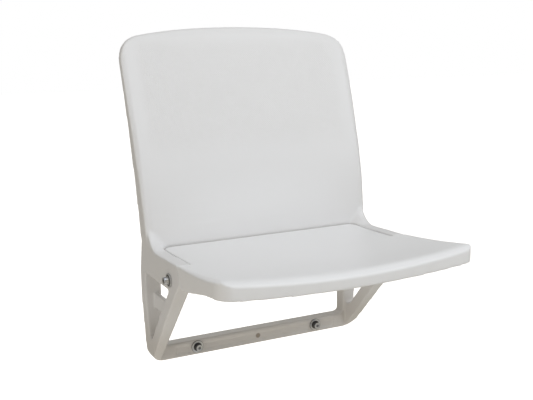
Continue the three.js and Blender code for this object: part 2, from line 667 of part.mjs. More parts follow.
// Plan outline of the pan: narrow between the arms, full width in front of them
function panOutline(inset, narrowHalf, shoulderY) {
  const steps = 12;
  const shape = new THREE.Shape();
  const rearY = SEAT_REAR_Y - inset;
  const wide = HALF_SEAT + PAN_FLARE - inset;
  const rearRadius = PAN_REAR_CORNER_RADIUS;
  const radius = PAN_FRONT_CORNER_RADIUS - inset;
  const landX = wide - radius;
  const frontY = (x) => panFrontY(x) + inset;
  const bendY = frontY(landX) + radius;
  const flat = wide - PAN_FLARE;
  shape.moveTo(-narrowHalf + rearRadius, rearY);
  shape.quadraticCurveTo(-narrowHalf, rearY, -narrowHalf, rearY - rearRadius);
  shape.lineTo(-narrowHalf, shoulderY);
  shape.lineTo(-flat, shoulderY);
  shape.lineTo(-wide, bendY);
  shape.bezierCurveTo(-wide, mix(bendY, frontY(landX), ARC_HANDLE), mix(-landX, -wide, 1 - ARC_HANDLE), frontY(landX), -landX, frontY(landX));
  for (let k = 1; k < steps; k += 1) {
    const x = mix(-landX, landX, k / steps);
    shape.lineTo(x, frontY(x));
  }
  shape.lineTo(landX, frontY(landX));
  shape.bezierCurveTo(mix(landX, wide, ARC_HANDLE), frontY(landX), wide, mix(frontY(landX), bendY, 1 - ARC_HANDLE), wide, bendY);
  shape.lineTo(flat, shoulderY);
  shape.lineTo(narrowHalf, shoulderY);
  shape.lineTo(narrowHalf, rearY - rearRadius);
  shape.quadraticCurveTo(narrowHalf, rearY, narrowHalf - rearRadius, rearY);
  shape.closePath();
  return shape;
}

function panSheet(drop) {
  return (s, t) => {
    const x = denseEnds(s, EDGE_BUNCH) * (HALF_SEAT + PAN_FLARE + OVERRUN);
    const y = mix(SEAT_REAR_Y + OVERRUN, panFrontY(x) - OVERRUN, 1 - (1 - t) ** FAR_BUNCH);
    return [x, y, panTopZ(x, Math.max(y, panFrontY(x))) - drop];
  };
}

// A sheet of evenly spaced points at the heights that a rule gives
function plainSheet(heightAt) {
  return (s, t) => {
    const reach = HALF_SEAT + PAN_FLARE + OVERRUN;
    const x = mix(-reach, reach, s);
    const y = mix(SEAT_REAR_Y + OVERRUN, PAN_FRONT_Y - OVERRUN, t);
    return [x, y, heightAt(x, y)];
  };
}

function screwPlaces() {
  const frontY = PAN_SIDE_FRONT_Y + 2 * SCREW_BOSS_DIAMETER;
  const rearY = SEAT_REAR_Y - 2 * SCREW_BOSS_DIAMETER;
  const places = [];
  for (const side of [-1, 1]) {
    const end = side < 0 ? 'right' : 'left';
    places.push({ name: `cover_screw_rear_${end}`, x: side * (UNDER_REAR_HALF - 2 * SCREW_BOSS_DIAMETER), y: rearY });
    places.push({ name: `cover_screw_mid_${end}`, x: side * (ARM_INNER_X - SCREW_BOSS_DIAMETER), y: mix(rearY, frontY, MID_SCREW_SHARE) });
    places.push({ name: `cover_screw_front_${end}`, x: side * (ARM_INNER_X - 2 * SCREW_BOSS_DIAMETER), y: frontY });
  }
  return places;
}

function nestedLowZ(x, y) {
  return panBareZ(x, y) - SKIRT_NESTED;
}

// Underside of the cover: just above the rim's lower edge, and up in a soft ramp to pass between the arms
function coverFaceZ(x, y) {
  const ramp = smooth((y - NOSE_TOP_Y + COVER_RAMP) / COVER_RAMP);
  return mix(rimLowZ(x, y), nestedLowZ(x, y), ramp) + UNDER_LIFT;
}

// Lower edge of the rim, on the same grid as the pan's top
function rimSheet(s, t) {
  const [x, y] = panSheet(0)(s, t);
  return [x, y, rimLowZ(x, y)];
}

function makePan() {
  const reach = SEAT_WIDTH;
  const outer = prismZ(panOutline(0, PAN_NARROW_HALF, NOSE_TOP_Y), 0, reach);
  const body = sheetBlock(FINE_GRID, FINE_GRID, panSheet(0), rimSheet);
  const shoulderY = PIVOT_Y - NOSE_RADIUS - NOSE_GAP - PAN_SKIRT_WALL;
  const hollowPlan = panOutline(PAN_SKIRT_WALL, PAN_NARROW_HALF - PAN_SKIRT_WALL, shoulderY);
  const inner = prismZ(hollowPlan, 0, reach);
  const hollow = sheetBlock(COARSE_GRID, COARSE_GRID, panSheet(PAN_WALL), panSheet(reach / 4));
  const nested = sheetBlock(COARSE_GRID, COARSE_GRID, plainSheet(nestedLowZ), plainSheet(() => 0));
  const between = box(-reach, reach, NOSE_TOP_Y, 0, 0, reach);
  let pan = outer.intersect(body).subtract(inner.intersect(hollow)).subtract(nested.intersect(between));
  for (const side of [-1, 1]) {
    const outside = side * (HALF_SEAT + 2 * OVERRUN);
    const near = Math.min(side * PAN_NARROW_HALF, outside);
    const far = Math.max(side * PAN_NARROW_HALF, outside);
    pan = pan.subtract(rodX(NOSE_RADIUS + NOSE_GAP, near, far, PIVOT_Y, PIVOT_Z, 96));

    // Hinge lug beside the arm
    const lugOuter = side * LUG_OUTER_X;
    const lugInner = side * (LUG_OUTER_X - LUG_THICKNESS);
    const low = Math.min(lugOuter, lugInner);
    const high = Math.max(lugOuter, lugInner);
    const lugTopZ = panTopZ(LUG_OUTER_X - LUG_THICKNESS, PIVOT_Y) - PAN_WALL + OVERRUN / 2;
    const disc = rodX(LUG_RADIUS, low, high, PIVOT_Y, PIVOT_Z, 32);
    const neck = box(low, high, PIVOT_Y - LUG_RADIUS, PIVOT_Y + LUG_RADIUS, PIVOT_Z, lugTopZ);
    const bore = rodX(BUSH_DIAMETER / 2 + FIT_GAP, low - OVERRUN, high + OVERRUN, PIVOT_Y, PIVOT_Z);
    pan = pan.add(disc).add(neck).subtract(bore);
  }
  for (const place of screwPlaces()) {
    const footZ = coverFaceZ(place.x, place.y) + UNDER_WALL + 2 * SPOT_DEPTH;
    const headZ = panTopZ(place.x, place.y) - PAN_WALL + OVERRUN / 2;
    const boss = rodZ(SCREW_BOSS_DIAMETER / 2, footZ, headZ, place.x, place.y, 16);
    const pilot = rodZ(SCREW_DIAMETER / 2 + FIT_GAP, footZ - OVERRUN, footZ + SCREW_LENGTH - UNDER_WALL, place.x, place.y, 12);
    pan = pan.add(boss).subtract(pilot);
  }
  return pan;
}

function makeCover() {
  const reach = SEAT_WIDTH;
  const inset = PAN_SKIRT_WALL + UNDER_INSET;
  const shoulderY = PIVOT_Y - NOSE_RADIUS - NOSE_GAP - inset;
  const plan = prismZ(panOutline(inset, UNDER_REAR_HALF, shoulderY), 0, reach);
  const upper = plainSheet((x, y) => coverFaceZ(x, y) + UNDER_WALL);
  const body = sheetBlock(COARSE_GRID, 2 * COARSE_GRID, upper, plainSheet(coverFaceZ));
  let cover = plan.intersect(body);
  for (const place of screwPlaces()) {
    const z = coverFaceZ(place.x, place.y);
    cover = cover.subtract(rodZ(SCREW_HEAD_DIAMETER / 2 + FIT_GAP, z - 2 * OVERRUN, z + SPOT_DEPTH, place.x, place.y, 16));
    cover = cover.subtract(rodZ(SCREW_DIAMETER / 2 + FIT_GAP, z - 2 * OVERRUN, z + UNDER_WALL + 2 * OVERRUN, place.x, place.y, 12));
  }
  return cover;
}

// Fasteners, drawn with their axis along +X and the head's bearing face at x = 0

function alongX(points, sides = 28) {
  const geometry = new THREE.LatheGeometry(points.map(([r, x]) => new THREE.Vector2(r, x)), sides);
  geometry.rotateZ(-Math.PI / 2);
  return toSolid(geometry);
}

function capBolt(length) {
  const shank = BOLT_DIAMETER / 2;
  const head = BOLT_HEAD_DIAMETER / 2;
  const edge = BOLT_HEAD_HEIGHT / 10;
  const body = alongX([
    [0, -length], [shank - edge, -length], [shank, -length + edge], [shank, 0], [head, 0],
    [head, BOLT_HEAD_HEIGHT - edge], [head - edge, BOLT_HEAD_HEIGHT], [0, BOLT_HEAD_HEIGHT],
  ]);
  const key = HEX_SOCKET / Math.sqrt(3);
  const socket = rodX(key, BOLT_HEAD_HEIGHT - HEX_SOCKET_DEPTH, BOLT_HEAD_HEIGHT + OVERRUN, 0, 0, 6);
  return body.subtract(socket);
}

function flatRing(outer, bore, thickness, sides = 32) {
  return alongX([[bore, 0], [outer, 0], [outer, thickness], [bore, thickness], [bore, 0]], sides);
}

function hexNut() {
  const corner = NUT_ACROSS_FLATS / Math.sqrt(3);
  const bore = BOLT_DIAMETER / 2 + FIT_GAP;
  return rodX(corner, 0, NUT_THICKNESS, 0, 0, 6).subtract(rodX(bore, -OVERRUN, NUT_THICKNESS + OVERRUN, 0, 0));
}

function flangedBush() {
  const bore = PIVOT_BOLT_DIAMETER / 2 + FIT_GAP;
  const length = LUG_THICKNESS + FIT_GAP;
  const flange = LUG_SIDE_GAP - 2 * FIT_GAP;
  return alongX([
    [bore, -length], [BUSH_DIAMETER / 2, -length], [BUSH_DIAMETER / 2, 0],
    [BUSH_FLANGE_DIAMETER / 2, 0], [BUSH_FLANGE_DIAMETER / 2, flange], [bore, flange], [bore, -length],
  ]);
}

function coverScrew() {
  const shank = SCREW_DIAMETER / 2;
  const head = SCREW_HEAD_DIAMETER / 2;
  const edge = SCREW_HEAD_HEIGHT / 4;
  return alongX([
    [0, -SCREW_LENGTH], [shank / 2, -SCREW_LENGTH], [shank, -SCREW_LENGTH + shank], [shank, 0], [head, 0],
    [head, SCREW_HEAD_HEIGHT - edge], [head - edge, SCREW_HEAD_HEIGHT], [0, SCREW_HEAD_HEIGHT],
  ], 16);
}

const fixed = new THREE.Group();
fixed.name = 'wall_side';
group.add(fixed);
addPiece('back_frame', makeBackFrame(), 'shell', fixed);

for (const side of [-1, 1]) {
  const end = side < 0 ? 'right' : 'left';

  // Wall bolts point forward out of the bar
  const washer = addPiece(`wall_washer_${end}`, flatRing(WASHER_DIAMETER / 2, BOLT_DIAMETER / 2 + FIT_GAP, WASHER_THICKNESS), 'zinc', fixed);
  washer.rotation.z = -Math.PI / 2;
  washer.position.set(side * BOLT_SPACING / 2, -LEG_DEPTH - FIT_GAP, 0);
  const wallBolt = addPiece(`wall_bolt_${end}`, capBolt(LEG_DEPTH + BOLT_LENGTH_IN_WALL), 'zinc', fixed);
  wallBolt.rotation.z = -Math.PI / 2;
  wallBolt.position.set(side * BOLT_SPACING / 2, -LEG_DEPTH - WASHER_THICKNESS - 2 * FIT_GAP, 0);

  // Hinge hardware on the outside of each arm and between arm and lug
  const turn = side < 0 ? Math.PI : 0;
  const armWasher = addPiece(`pivot_washer_${end}`, flatRing(WASHER_DIAMETER / 2, BOLT_DIAMETER / 2 + FIT_GAP, WASHER_THICKNESS), 'zinc', fixed);
  armWasher.rotation.z = turn;
  armWasher.position.set(side * (HALF_SEAT + FIT_GAP), PIVOT_Y, PIVOT_Z);
  const boltBaseX = HALF_SEAT + WASHER_THICKNESS + 2 * FIT_GAP;
  const nutInnerX = LUG_OUTER_X - LUG_THICKNESS - 2 * FIT_GAP - NUT_THICKNESS;
  const pivotBolt = addPiece(`pivot_bolt_${end}`, capBolt(boltBaseX - nutInnerX + OVERRUN), 'zinc', fixed);
  pivotBolt.rotation.z = turn;
  pivotBolt.position.set(side * boltBaseX, PIVOT_Y, PIVOT_Z);
  const nut = addPiece(`pivot_nut_${end}`, hexNut(), 'zinc', fixed);
  nut.rotation.z = turn;
  nut.position.set(side * nutInnerX, PIVOT_Y, PIVOT_Z);
  const bush = addPiece(`pivot_bush_${end}`, flangedBush(), 'nylon', fixed);
  bush.rotation.z = turn;
  bush.position.set(side * (LUG_OUTER_X + FIT_GAP), PIVOT_Y, PIVOT_Z);

  // Rubber buffer that the lowered seat rests on
  const buffer = rodZ(BUFFER_DIAMETER / 2, bufferBaseZ(), bufferBaseZ() + BUFFER_HEIGHT, side * BUFFER_X, LEDGE_Y, 20);
  addPiece(`stop_buffer_${end}`, buffer, 'rubber', fixed);
}

const seat = new THREE.Group();
seat.name = 'seat_side';
group.add(seat);
addPiece('seat_pan', makePan(), 'seat', seat);
addPiece('seat_cover', makeCover(), 'underside', seat);
for (const place of screwPlaces()) {
  const screw = addPiece(place.name, coverScrew(), 'zinc', seat);
  screw.rotation.y = Math.PI / 2;
  screw.position.set(place.x, place.y, coverFaceZ(place.x, place.y) + SPOT_DEPTH - FIT_GAP);
}

export default group;
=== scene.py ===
# %% [markdown]
# # Dressing a tip-up stadium seat
#
# A stadium seat looks simple: pale plastic, a few zinc screws. Its looks live in small
# things: the soft radius on every moulded edge, the hollow curves where the backrest
# flows into the arms, a fine diamond grip on the back, and the thin dark gap round the
# seat pan. We start from a measured frame, in metres, and replace its plain solids, all
# but the two hinge bushes, with softer, finer pieces that sit in the same places.

# %% Load the measured frame
import math

import bmesh
import bpy
from mathutils import Matrix, Vector
from mathutils.bvhtree import BVHTree


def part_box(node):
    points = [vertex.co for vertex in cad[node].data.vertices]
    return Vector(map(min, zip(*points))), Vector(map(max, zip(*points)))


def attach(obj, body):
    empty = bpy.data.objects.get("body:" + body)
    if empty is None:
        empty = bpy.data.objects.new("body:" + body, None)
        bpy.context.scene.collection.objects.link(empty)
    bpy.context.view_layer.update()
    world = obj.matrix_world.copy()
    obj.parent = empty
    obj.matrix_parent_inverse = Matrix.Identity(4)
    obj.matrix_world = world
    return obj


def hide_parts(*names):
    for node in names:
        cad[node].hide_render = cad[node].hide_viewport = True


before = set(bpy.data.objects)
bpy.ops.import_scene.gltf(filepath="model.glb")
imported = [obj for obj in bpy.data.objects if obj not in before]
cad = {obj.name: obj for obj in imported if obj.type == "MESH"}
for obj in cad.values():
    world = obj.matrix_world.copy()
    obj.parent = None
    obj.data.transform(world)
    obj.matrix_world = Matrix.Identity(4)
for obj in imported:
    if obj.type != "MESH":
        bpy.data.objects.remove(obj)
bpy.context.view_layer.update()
print("measured pieces:", len(cad))

# %% [markdown]
# ## The camera
#
# The photograph was taken from the front, a little to the seat's right and a little
# above it. We give the camera its three axes directly: where its right, its up and its
# backward direction point. A lens of about 55 mm matches the gentle perspective.

# %% Place the camera
TURN = math.radians(26.61)
TILT = math.radians(11.13)
ROLL = math.radians(-0.66)
CAMERA_PLACE = (-0.6681, -1.4031, 0.5704)
FOCAL_PIXELS = 822.3  # the focal length, in pixels of the photograph
PHOTO_WIDTH = 533  # pixels
SENSOR_WIDTH = 36  # millimetres
look = Vector((math.sin(TURN) * math.cos(TILT), math.cos(TURN) * math.cos(TILT), -math.sin(TILT)))
flat_right = Vector((math.cos(TURN), -math.sin(TURN), 0))
flat_up = flat_right.cross(look)
right = flat_right * math.cos(ROLL) + flat_up * math.sin(ROLL)
up = flat_up * math.cos(ROLL) - flat_right * math.sin(ROLL)
camera_data = bpy.data.cameras.new("photo_camera")
camera_data.sensor_fit = "HORIZONTAL"
camera_data.sensor_width = SENSOR_WIDTH
camera_data.lens = SENSOR_WIDTH * FOCAL_PIXELS / PHOTO_WIDTH
camera = bpy.data.objects.new("photo_camera", camera_data)
bpy.context.scene.collection.objects.link(camera)
axes = Matrix((right, up, -look)).transposed().to_4x4()
camera.matrix_world = Matrix.Translation(CAMERA_PLACE) @ axes
bpy.context.scene.camera = camera
print("camera looks along", tuple(round(n, 3) for n in look))

# %% [markdown]
# ## Soft light and a pale floor
#
# The photograph is a product picture on white: a big soft source in front and above,
# and white all round. The sides that face left are clearly darker than the front, so
# the large light stands to the right. Weaker cards on the left, under the seat and
# behind it fill the shadows. The camera sees the sky and the floor as plain white,
# while the light that they give the seat is set apart: dim and a little warm.

# %% Make the white world
SKY_GREEN = 0.985  # against 1 for red
SKY_BLUE = 0.945
SKY_STRENGTH = 0.37
scene = bpy.context.scene
scene.view_settings.view_transform = "Standard"
world = bpy.data.worlds.new("white_studio")
world.use_nodes = True
scene.world = world


def add_camera_switch(tree, to_light, to_camera, socket):
    """Feeds a socket one number for the light on things and another for what the camera sees."""
    rays = tree.nodes.new("ShaderNodeLightPath")
    choice = tree.nodes.new("ShaderNodeMapRange")
    choice.inputs["To Min"].default_value = to_light
    choice.inputs["To Max"].default_value = to_camera
    tree.links.new(rays.outputs["Is Camera Ray"], choice.inputs["Value"])
    tree.links.new(choice.outputs["Result"], socket)


sky = world.node_tree.nodes["Background"]
sky_colour = world.node_tree.nodes.new("ShaderNodeCombineColor")
sky_colour.inputs["Red"].default_value = 1.0
add_camera_switch(world.node_tree, SKY_GREEN, 1.0, sky_colour.inputs["Green"])
add_camera_switch(world.node_tree, SKY_BLUE, 1.0, sky_colour.inputs["Blue"])
world.node_tree.links.new(sky_colour.outputs["Color"], sky.inputs["Color"])
add_camera_switch(world.node_tree, SKY_STRENGTH, 1.0, sky.inputs["Strength"])
print("sky gives", SKY_STRENGTH, "of the light that the camera sees in it")

# %% Hang the soft lights
SEAT_MIDDLE = (0, -0.1, 0.25)
COOL = (0.88, 0.935, 1.0)
SLIGHTLY_COOL = (0.93, 0.96, 1.0)
WARM = (1.0, 0.97, 0.93)
SLIGHTLY_WARM = (1.0, 0.98, 0.95)
NEUTRAL = (0.98, 0.99, 1.0)


def add_soft_light(name, place, aim, size, power, colour):
    """A square soft box that looks at a point."""
    data = bpy.data.lights.new(name, "AREA")
    data.size = size
    data.energy = power
    data.color = colour
    light = bpy.data.objects.new(name, data)
    light.location = place
    light.rotation_euler = (Vector(aim) - Vector(place)).to_track_quat("-Z", "Y").to_euler()
    scene.collection.objects.link(light)
    print(name, "of", power, "W")


add_soft_light("front_box", (1.3, -2.5, 1.8), SEAT_MIDDLE, size=1.6, power=29, colour=COOL)
add_soft_light("top_box", (0.5, -1.2, 2.4), SEAT_MIDDLE, size=1.8, power=21, colour=SLIGHTLY_COOL)
add_soft_light("left_card", (-2.4, -0.9, 0.3), (0, -0.1, 0.2), size=1.6, power=11, colour=WARM)
add_soft_light(
    "floor_card", (-0.15, -0.22, -0.42), (-0.14, -0.2, 0.1), size=0.7, power=0.7, colour=SLIGHTLY_WARM
)
add_soft_light("back_card", (0.6, 2.6, 1.2), (0, 0, 0.3), size=1.8, power=7, colour=NEUTRAL)

# %% [markdown]
# The floor lies well below the seat, which hangs on a wall. It is a sheet of paper that
# glows white for the camera only.

# %% Lay the floor
FLOOR_Z = -0.45
FLOOR_SIZE = 30
PAPER_COLOUR = (0.62, 0.58, 0.51)
PAPER_ROUGHNESS = 0.9


def new_material(name):
    material = bpy.data.materials.new(name)
    material.use_nodes = True
    return material, material.node_tree, material.node_tree.nodes["Principled BSDF"]


bpy.ops.object.select_all(action="DESELECT")
bpy.ops.mesh.primitive_plane_add(size=FLOOR_SIZE, location=(0, 0, FLOOR_Z))
floor = bpy.context.object
floor.name = "studio_floor"
paper, tree, shader = new_material("white_paper")
shader.inputs["Base Color"].default_value = (*PAPER_COLOUR, 1)
shader.inputs["Roughness"].default_value = PAPER_ROUGHNESS
shader.inputs["Emission Color"].default_value = (1, 1, 1, 1)
add_camera_switch(tree, 0.0, 1.0, shader.inputs["Emission Strength"])
floor.data.materials.append(paper)
print("floor at", FLOOR_Z, "m")

# %% [markdown]
# ## Helpers for working by hand in code
#
# The operators act on whatever is selected, so we always clear the selection first, and
# then pick faces or edges by a rule such as "those that face up".

# %% Selection helpers


def only(piece):
    """Selects one piece and makes it active, in object mode."""
    if bpy.context.object and bpy.context.object.mode != "OBJECT":
        bpy.ops.object.mode_set(mode="OBJECT")
    bpy.ops.object.select_all(action="DESELECT")
    piece.hide_viewport = False
    piece.select_set(True)
    bpy.context.view_layer.objects.active = piece


def pick(piece, kind, rule):
    """Opens a piece in edit mode with only the faces or edges that the rule chooses selected."""
    only(piece)
    bpy.ops.object.mode_set(mode="EDIT")
    bpy.ops.mesh.select_mode(type=kind)
    bpy.ops.mesh.select_all(action="DESELECT")
    mesh = bmesh.from_edit_mesh(piece.data)
    parts = mesh.faces if kind == "FACE" else mesh.edges
    chosen = [part for part in parts if rule(part)]
    for part in chosen:
        part.select_set(True)
    bmesh.update_edit_mesh(piece.data)
    return len(chosen)


def leave():
    bpy.ops.object.mode_set(mode="OBJECT")


# %% Finishing helpers


def apply_modifier(piece, kind, **settings):
    """Adds a modifier, sets it and applies it at once."""
    only(piece)
    modifier = piece.modifiers.new(kind.lower(), kind)
    for name, value in settings.items():
        setattr(modifier, name, value)
    bpy.ops.object.modifier_apply(modifier=modifier.name)


def triangles(piece):
    piece.data.calc_loop_triangles()
    return len(piece.data.loop_triangles)


def hand_over(piece, name, body, slot, *replaced):
    """Names a finished piece, puts its place into its mesh and lets it ride on its body."""
    only(piece)
    bpy.ops.object.transform_apply(location=True, rotation=True, scale=True)
    piece.name = name
    piece.data.name = name
    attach(piece, body)
    if replaced:
        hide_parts(*replaced)
    print(name, triangles(piece), "triangles")


# %% [markdown]
# ## Moulded plastic, built once
#
# The seat is injection-moulded polypropylene. Up close such plastic isn't one flat
# colour: it has a very fine spark-eroded grain, faint clouds where the melt cooled, and
# it is a little duller in some clouds than in others. One node group makes those three
# things from the object's own coordinates, and each plastic sets its own amounts.

# %% Helpers for node trees


def new_group(name, inputs, outputs):
    """An empty shader node group with named sockets."""
    tree = bpy.data.node_groups.new(name, "ShaderNodeTree")
    for label, kind, value in inputs:
        tree.interface.new_socket(label, in_out="INPUT", socket_type=kind).default_value = value
    for label, kind in outputs:
        tree.interface.new_socket(label, in_out="OUTPUT", socket_type=kind)
    start = tree.nodes.new("NodeGroupInput")
    end = tree.nodes.new("NodeGroupOutput")
    return tree, start, end


def add_group(tree, group, **values):
    node = tree.nodes.new("ShaderNodeGroup")
    node.node_tree = group
    for name, value in values.items():
        node.inputs[name].default_value = value
    return node


def add_math(tree, operation, first, second=None):
    """A maths node whose values are sockets or numbers. Some operations take only one."""
    node = tree.nodes.new("ShaderNodeMath")
    node.operation = operation
    for socket, value in zip(node.inputs, (first, second)):
        if isinstance(value, (int, float)):
            socket.default_value = value
        elif value is not None:
            tree.links.new(value, socket)
    return node.outputs[0]


def add_noise(tree, scale, detail):
    """How strong a noise is at each point, from the object's own coordinates."""
    place = tree.nodes.new("ShaderNodeTexCoord")
    noise = tree.nodes.new("ShaderNodeTexNoise")
    noise.inputs["Scale"].default_value = scale
    noise.inputs["Detail"].default_value = detail
    tree.links.new(place.outputs["Object"], noise.inputs["Vector"])
    return noise.outputs["Fac"]


# %% Node group: moulded plastic
CLOUD_SCALE = 9
GRAIN_SCALE = 1400
CLOUD_DULLNESS = 0.18  # how much duller the palest cloud is than the darkest

plastic, start, end = new_group(
    "moulded_plastic",
    [
        ("Colour", "NodeSocketColor", (0.8, 0.8, 0.8, 1)),
        ("Clouding", "NodeSocketFloat", 0.02),
        ("Dullness", "NodeSocketFloat", 0.4),
    ],
    [("Colour", "NodeSocketColor"), ("Roughness", "NodeSocketFloat"), ("Height", "NodeSocketFloat")],
)
clouds = add_noise(plastic, CLOUD_SCALE, detail=3)
grain = add_noise(plastic, GRAIN_SCALE, detail=2)
centred = add_math(plastic, "SUBTRACT", clouds, 0.5)
shift = add_math(plastic, "MULTIPLY", centred, start.outputs["Clouding"])
brightness = add_math(plastic, "ADD", shift, 1.0)
clouded = plastic.nodes.new("ShaderNodeVectorMath")
clouded.operation = "SCALE"
plastic.links.new(start.outputs["Colour"], clouded.inputs[0])
plastic.links.new(brightness, clouded.inputs["Scale"])
plastic.links.new(clouded.outputs[0], end.inputs["Colour"])
uneven = add_math(plastic, "MULTIPLY", centred, CLOUD_DULLNESS)
plastic.links.new(add_math(plastic, "ADD", uneven, start.outputs["Dullness"]), end.inputs["Roughness"])
plastic.links.new(grain, end.inputs["Height"])
print("group sockets:", [s.name for s in plastic.interface.items_tree])

# %% [markdown]
# ## The plastics
#
# Frame and seat pan are the same kind of pale plastic, the frame a touch darker. The
# hidden cover is matt, the bushes are nylon and the buffers are black rubber. All of
# them are the one group with other amounts.

# %% Plastic materials
SEAT_GREY = (0.84, 0.835, 0.833)
FRAME_GREY = (0.755, 0.745, 0.738)
COVER_GREY = (0.72, 0.71, 0.69)
NYLON_CREAM = (0.86, 0.85, 0.80)
RUBBER_BLACK = (0.028, 0.028, 0.03)
GRAIN_STRENGTH = 0.5


def make_plastic(name, colour, clouding, dullness, grain, specular=0.45):
    """A plastic from the group. Its grain is as deep as is said, in metres."""
    material, tree, shader = new_material(name)
    surface = add_group(tree, plastic, Colour=(*colour, 1), Clouding=clouding, Dullness=dullness)
    bump = tree.nodes.new("ShaderNodeBump")
    bump.inputs["Strength"].default_value = GRAIN_STRENGTH
    bump.inputs["Distance"].default_value = grain
    tree.links.new(surface.outputs["Height"], bump.inputs["Height"])
    tree.links.new(surface.outputs["Colour"], shader.inputs["Base Color"])
    tree.links.new(surface.outputs["Roughness"], shader.inputs["Roughness"])
    tree.links.new(bump.outputs["Normal"], shader.inputs["Normal"])
    shader.inputs["Specular IOR Level"].default_value = specular
    return material


seat_plastic = make_plastic("pale_seat_plastic", SEAT_GREY, clouding=0.03, dullness=0.38, grain=0.00004)
frame_plastic = make_plastic("pale_frame_plastic", FRAME_GREY, clouding=0.03, dullness=0.40, grain=0.00005)
cover_plastic = make_plastic("matt_cover_plastic", COVER_GREY, clouding=0.04, dullness=0.55, grain=0.00008)
nylon = make_plastic("plain_nylon", NYLON_CREAM, clouding=0.05, dullness=0.45, grain=0.00004)
rubber = make_plastic("black_rubber", RUBBER_BLACK, clouding=0.3, dullness=0.75, grain=0.0001, specular=0.3)
print("plastics:", [m.name for m in (seat_plastic, frame_plastic, cover_plastic, nylon, rubber)])

# %% [markdown]
# The frame has two marks: a brown speck in the middle of the foot bar, where the plastic
# was injected and scorched a little, and painted shade under the seat, darkest on the bar
# and fading upwards from it. Each is a second colour, laid over the first by a mask that
# is worked out from a place on the object.

# %% Speck and painted shade on the frame
SPECK_PLACE = (0.001, -0.0235, -0.002)
SPECK_RADIUS = 0.006
SPECK_CORE_RADIUS = SPECK_RADIUS * 0.6
SPECK_BROWN = (0.12, 0.075, 0.035)
UNDER_SEAT_SHADE_COLOUR = (0.50, 0.455, 0.40)
UNDER_SEAT_SHADE_SHARE = 0.5
SHADE_LOW_Z = 0.015  # below this height the painted shade has its full share
SHADE_HIGH_Z = 0.10  # and above this one there is none


def add_step(tree, value, low, high):
    """Goes softly from 0 to 1 as a value goes from low to high, or down to high if that is less."""
    node = tree.nodes.new("ShaderNodeMapRange")
    node.interpolation_type = "SMOOTHSTEP"
    tree.links.new(value, node.inputs["Value"])
    node.inputs["From Min"].default_value = low
    node.inputs["From Max"].default_value = high
    return node.outputs["Result"]


def lay_over(tree, base, colour, mask):
    """A base colour with another over it, as thick as a mask from 0 to 1 says."""
    node = tree.nodes.new("ShaderNodeMix")
    node.data_type = "RGBA"
    tree.links.new(base, node.inputs["A"])
    node.inputs["B"].default_value = (*colour, 1)
    tree.links.new(mask, node.inputs["Factor"])
    return node.outputs["Result"]


tree = frame_plastic.node_tree
base_colour = tree.nodes["Principled BSDF"].inputs["Base Color"]
place = tree.nodes.new("ShaderNodeTexCoord")
from_speck = tree.nodes.new("ShaderNodeVectorMath")
from_speck.operation = "DISTANCE"
from_speck.inputs[1].default_value = SPECK_PLACE
tree.links.new(place.outputs["Object"], from_speck.inputs[0])
speck = add_step(tree, from_speck.outputs["Value"], SPECK_RADIUS, SPECK_CORE_RADIUS)
specked = lay_over(tree, base_colour.links[0].from_socket, SPECK_BROWN, speck)
# The second mask is painted shade under the seat: full on the foot bar, none higher up.
split = tree.nodes.new("ShaderNodeSeparateXYZ")
tree.links.new(place.outputs["Object"], split.inputs[0])
clear = add_step(tree, split.outputs["Z"], SHADE_LOW_Z, SHADE_HIGH_Z)
under_seat_shade = add_math(tree, "MULTIPLY", add_math(tree, "SUBTRACT", 1.0, clear), UNDER_SEAT_SHADE_SHARE)
tree.links.new(lay_over(tree, specked, UNDER_SEAT_SHADE_COLOUR, under_seat_shade), base_colour)
print("speck", SPECK_RADIUS * 2000, "mm across, dust up to", SHADE_HIGH_Z, "m")

# %% [markdown]
# ## Zinc-plated steel
#
# Plated screws are bright but never mirror-clean: the plating has a faint bluish and
# yellowish bloom. Painted shade darkens the corner round each bolt head, and a painted
# shadow darkens the rim of each wall washer. Both are rings about the bolt's axis, so one
# small node group makes them, from the distance to the axis and an inner and an outer radius.

# %% Node group: a ring of painted shade
# Radii of the painted shade round each head and of the painted shadow at each washer rim.
HEAD_SHADE = (0.0056, 0.0088)
RIM_SHADOW = (0.0112, 0.0130)
SHADE_INNER_FADE = 0.0008
SHADE_OUTER_FADE = 0.0012

shade_ring, start, end = new_group(
    "painted_shade_ring",
    [
        ("Distance", "NodeSocketFloat", 0.0),
        ("Inner", "NodeSocketFloat", HEAD_SHADE[0]),
        ("Outer", "NodeSocketFloat", HEAD_SHADE[1]),
    ],
    [("Shade", "NodeSocketFloat")],
)
past_inner = add_math(shade_ring, "SUBTRACT", start.outputs["Distance"], start.outputs["Inner"])
short_of_outer = add_math(shade_ring, "SUBTRACT", start.outputs["Outer"], start.outputs["Distance"])
inner_edge = add_step(shade_ring, past_inner, 0, SHADE_INNER_FADE)
outer_edge = add_step(shade_ring, short_of_outer, 0, SHADE_OUTER_FADE)
shade_ring.links.new(add_math(shade_ring, "MULTIPLY", inner_edge, outer_edge), end.inputs["Shade"])
print("dirt from", HEAD_SHADE[0], "to", HEAD_SHADE[1], "m from the axis")

# %% Clean zinc
BLOOM_SCALE = 160
BLOOM_RANGE = (0.35, 0.68)  # the noise values that are fully bluish and fully yellowish
BLUISH = (0.50, 0.52, 0.56, 1)
YELLOWISH = (0.74, 0.73, 0.69, 1)
ZINC_ROUGHNESS = 0.2
BLOOM_ROUGHNESS = 0.25

zinc, tree, shader = new_material("zinc_plating")
bloom = add_noise(tree, BLOOM_SCALE, detail=4)
tones = tree.nodes.new("ShaderNodeValToRGB")
for tone, position, colour in zip(tones.color_ramp.elements, BLOOM_RANGE, (BLUISH, YELLOWISH)):
    tone.position = position
    tone.color = colour
tree.links.new(bloom, tones.inputs["Fac"])
dulled = add_math(tree, "ADD", add_math(tree, "MULTIPLY", bloom, BLOOM_ROUGHNESS), ZINC_ROUGHNESS)
shader.inputs["Metallic"].default_value = 1.0
print("metal ready:", zinc.name)
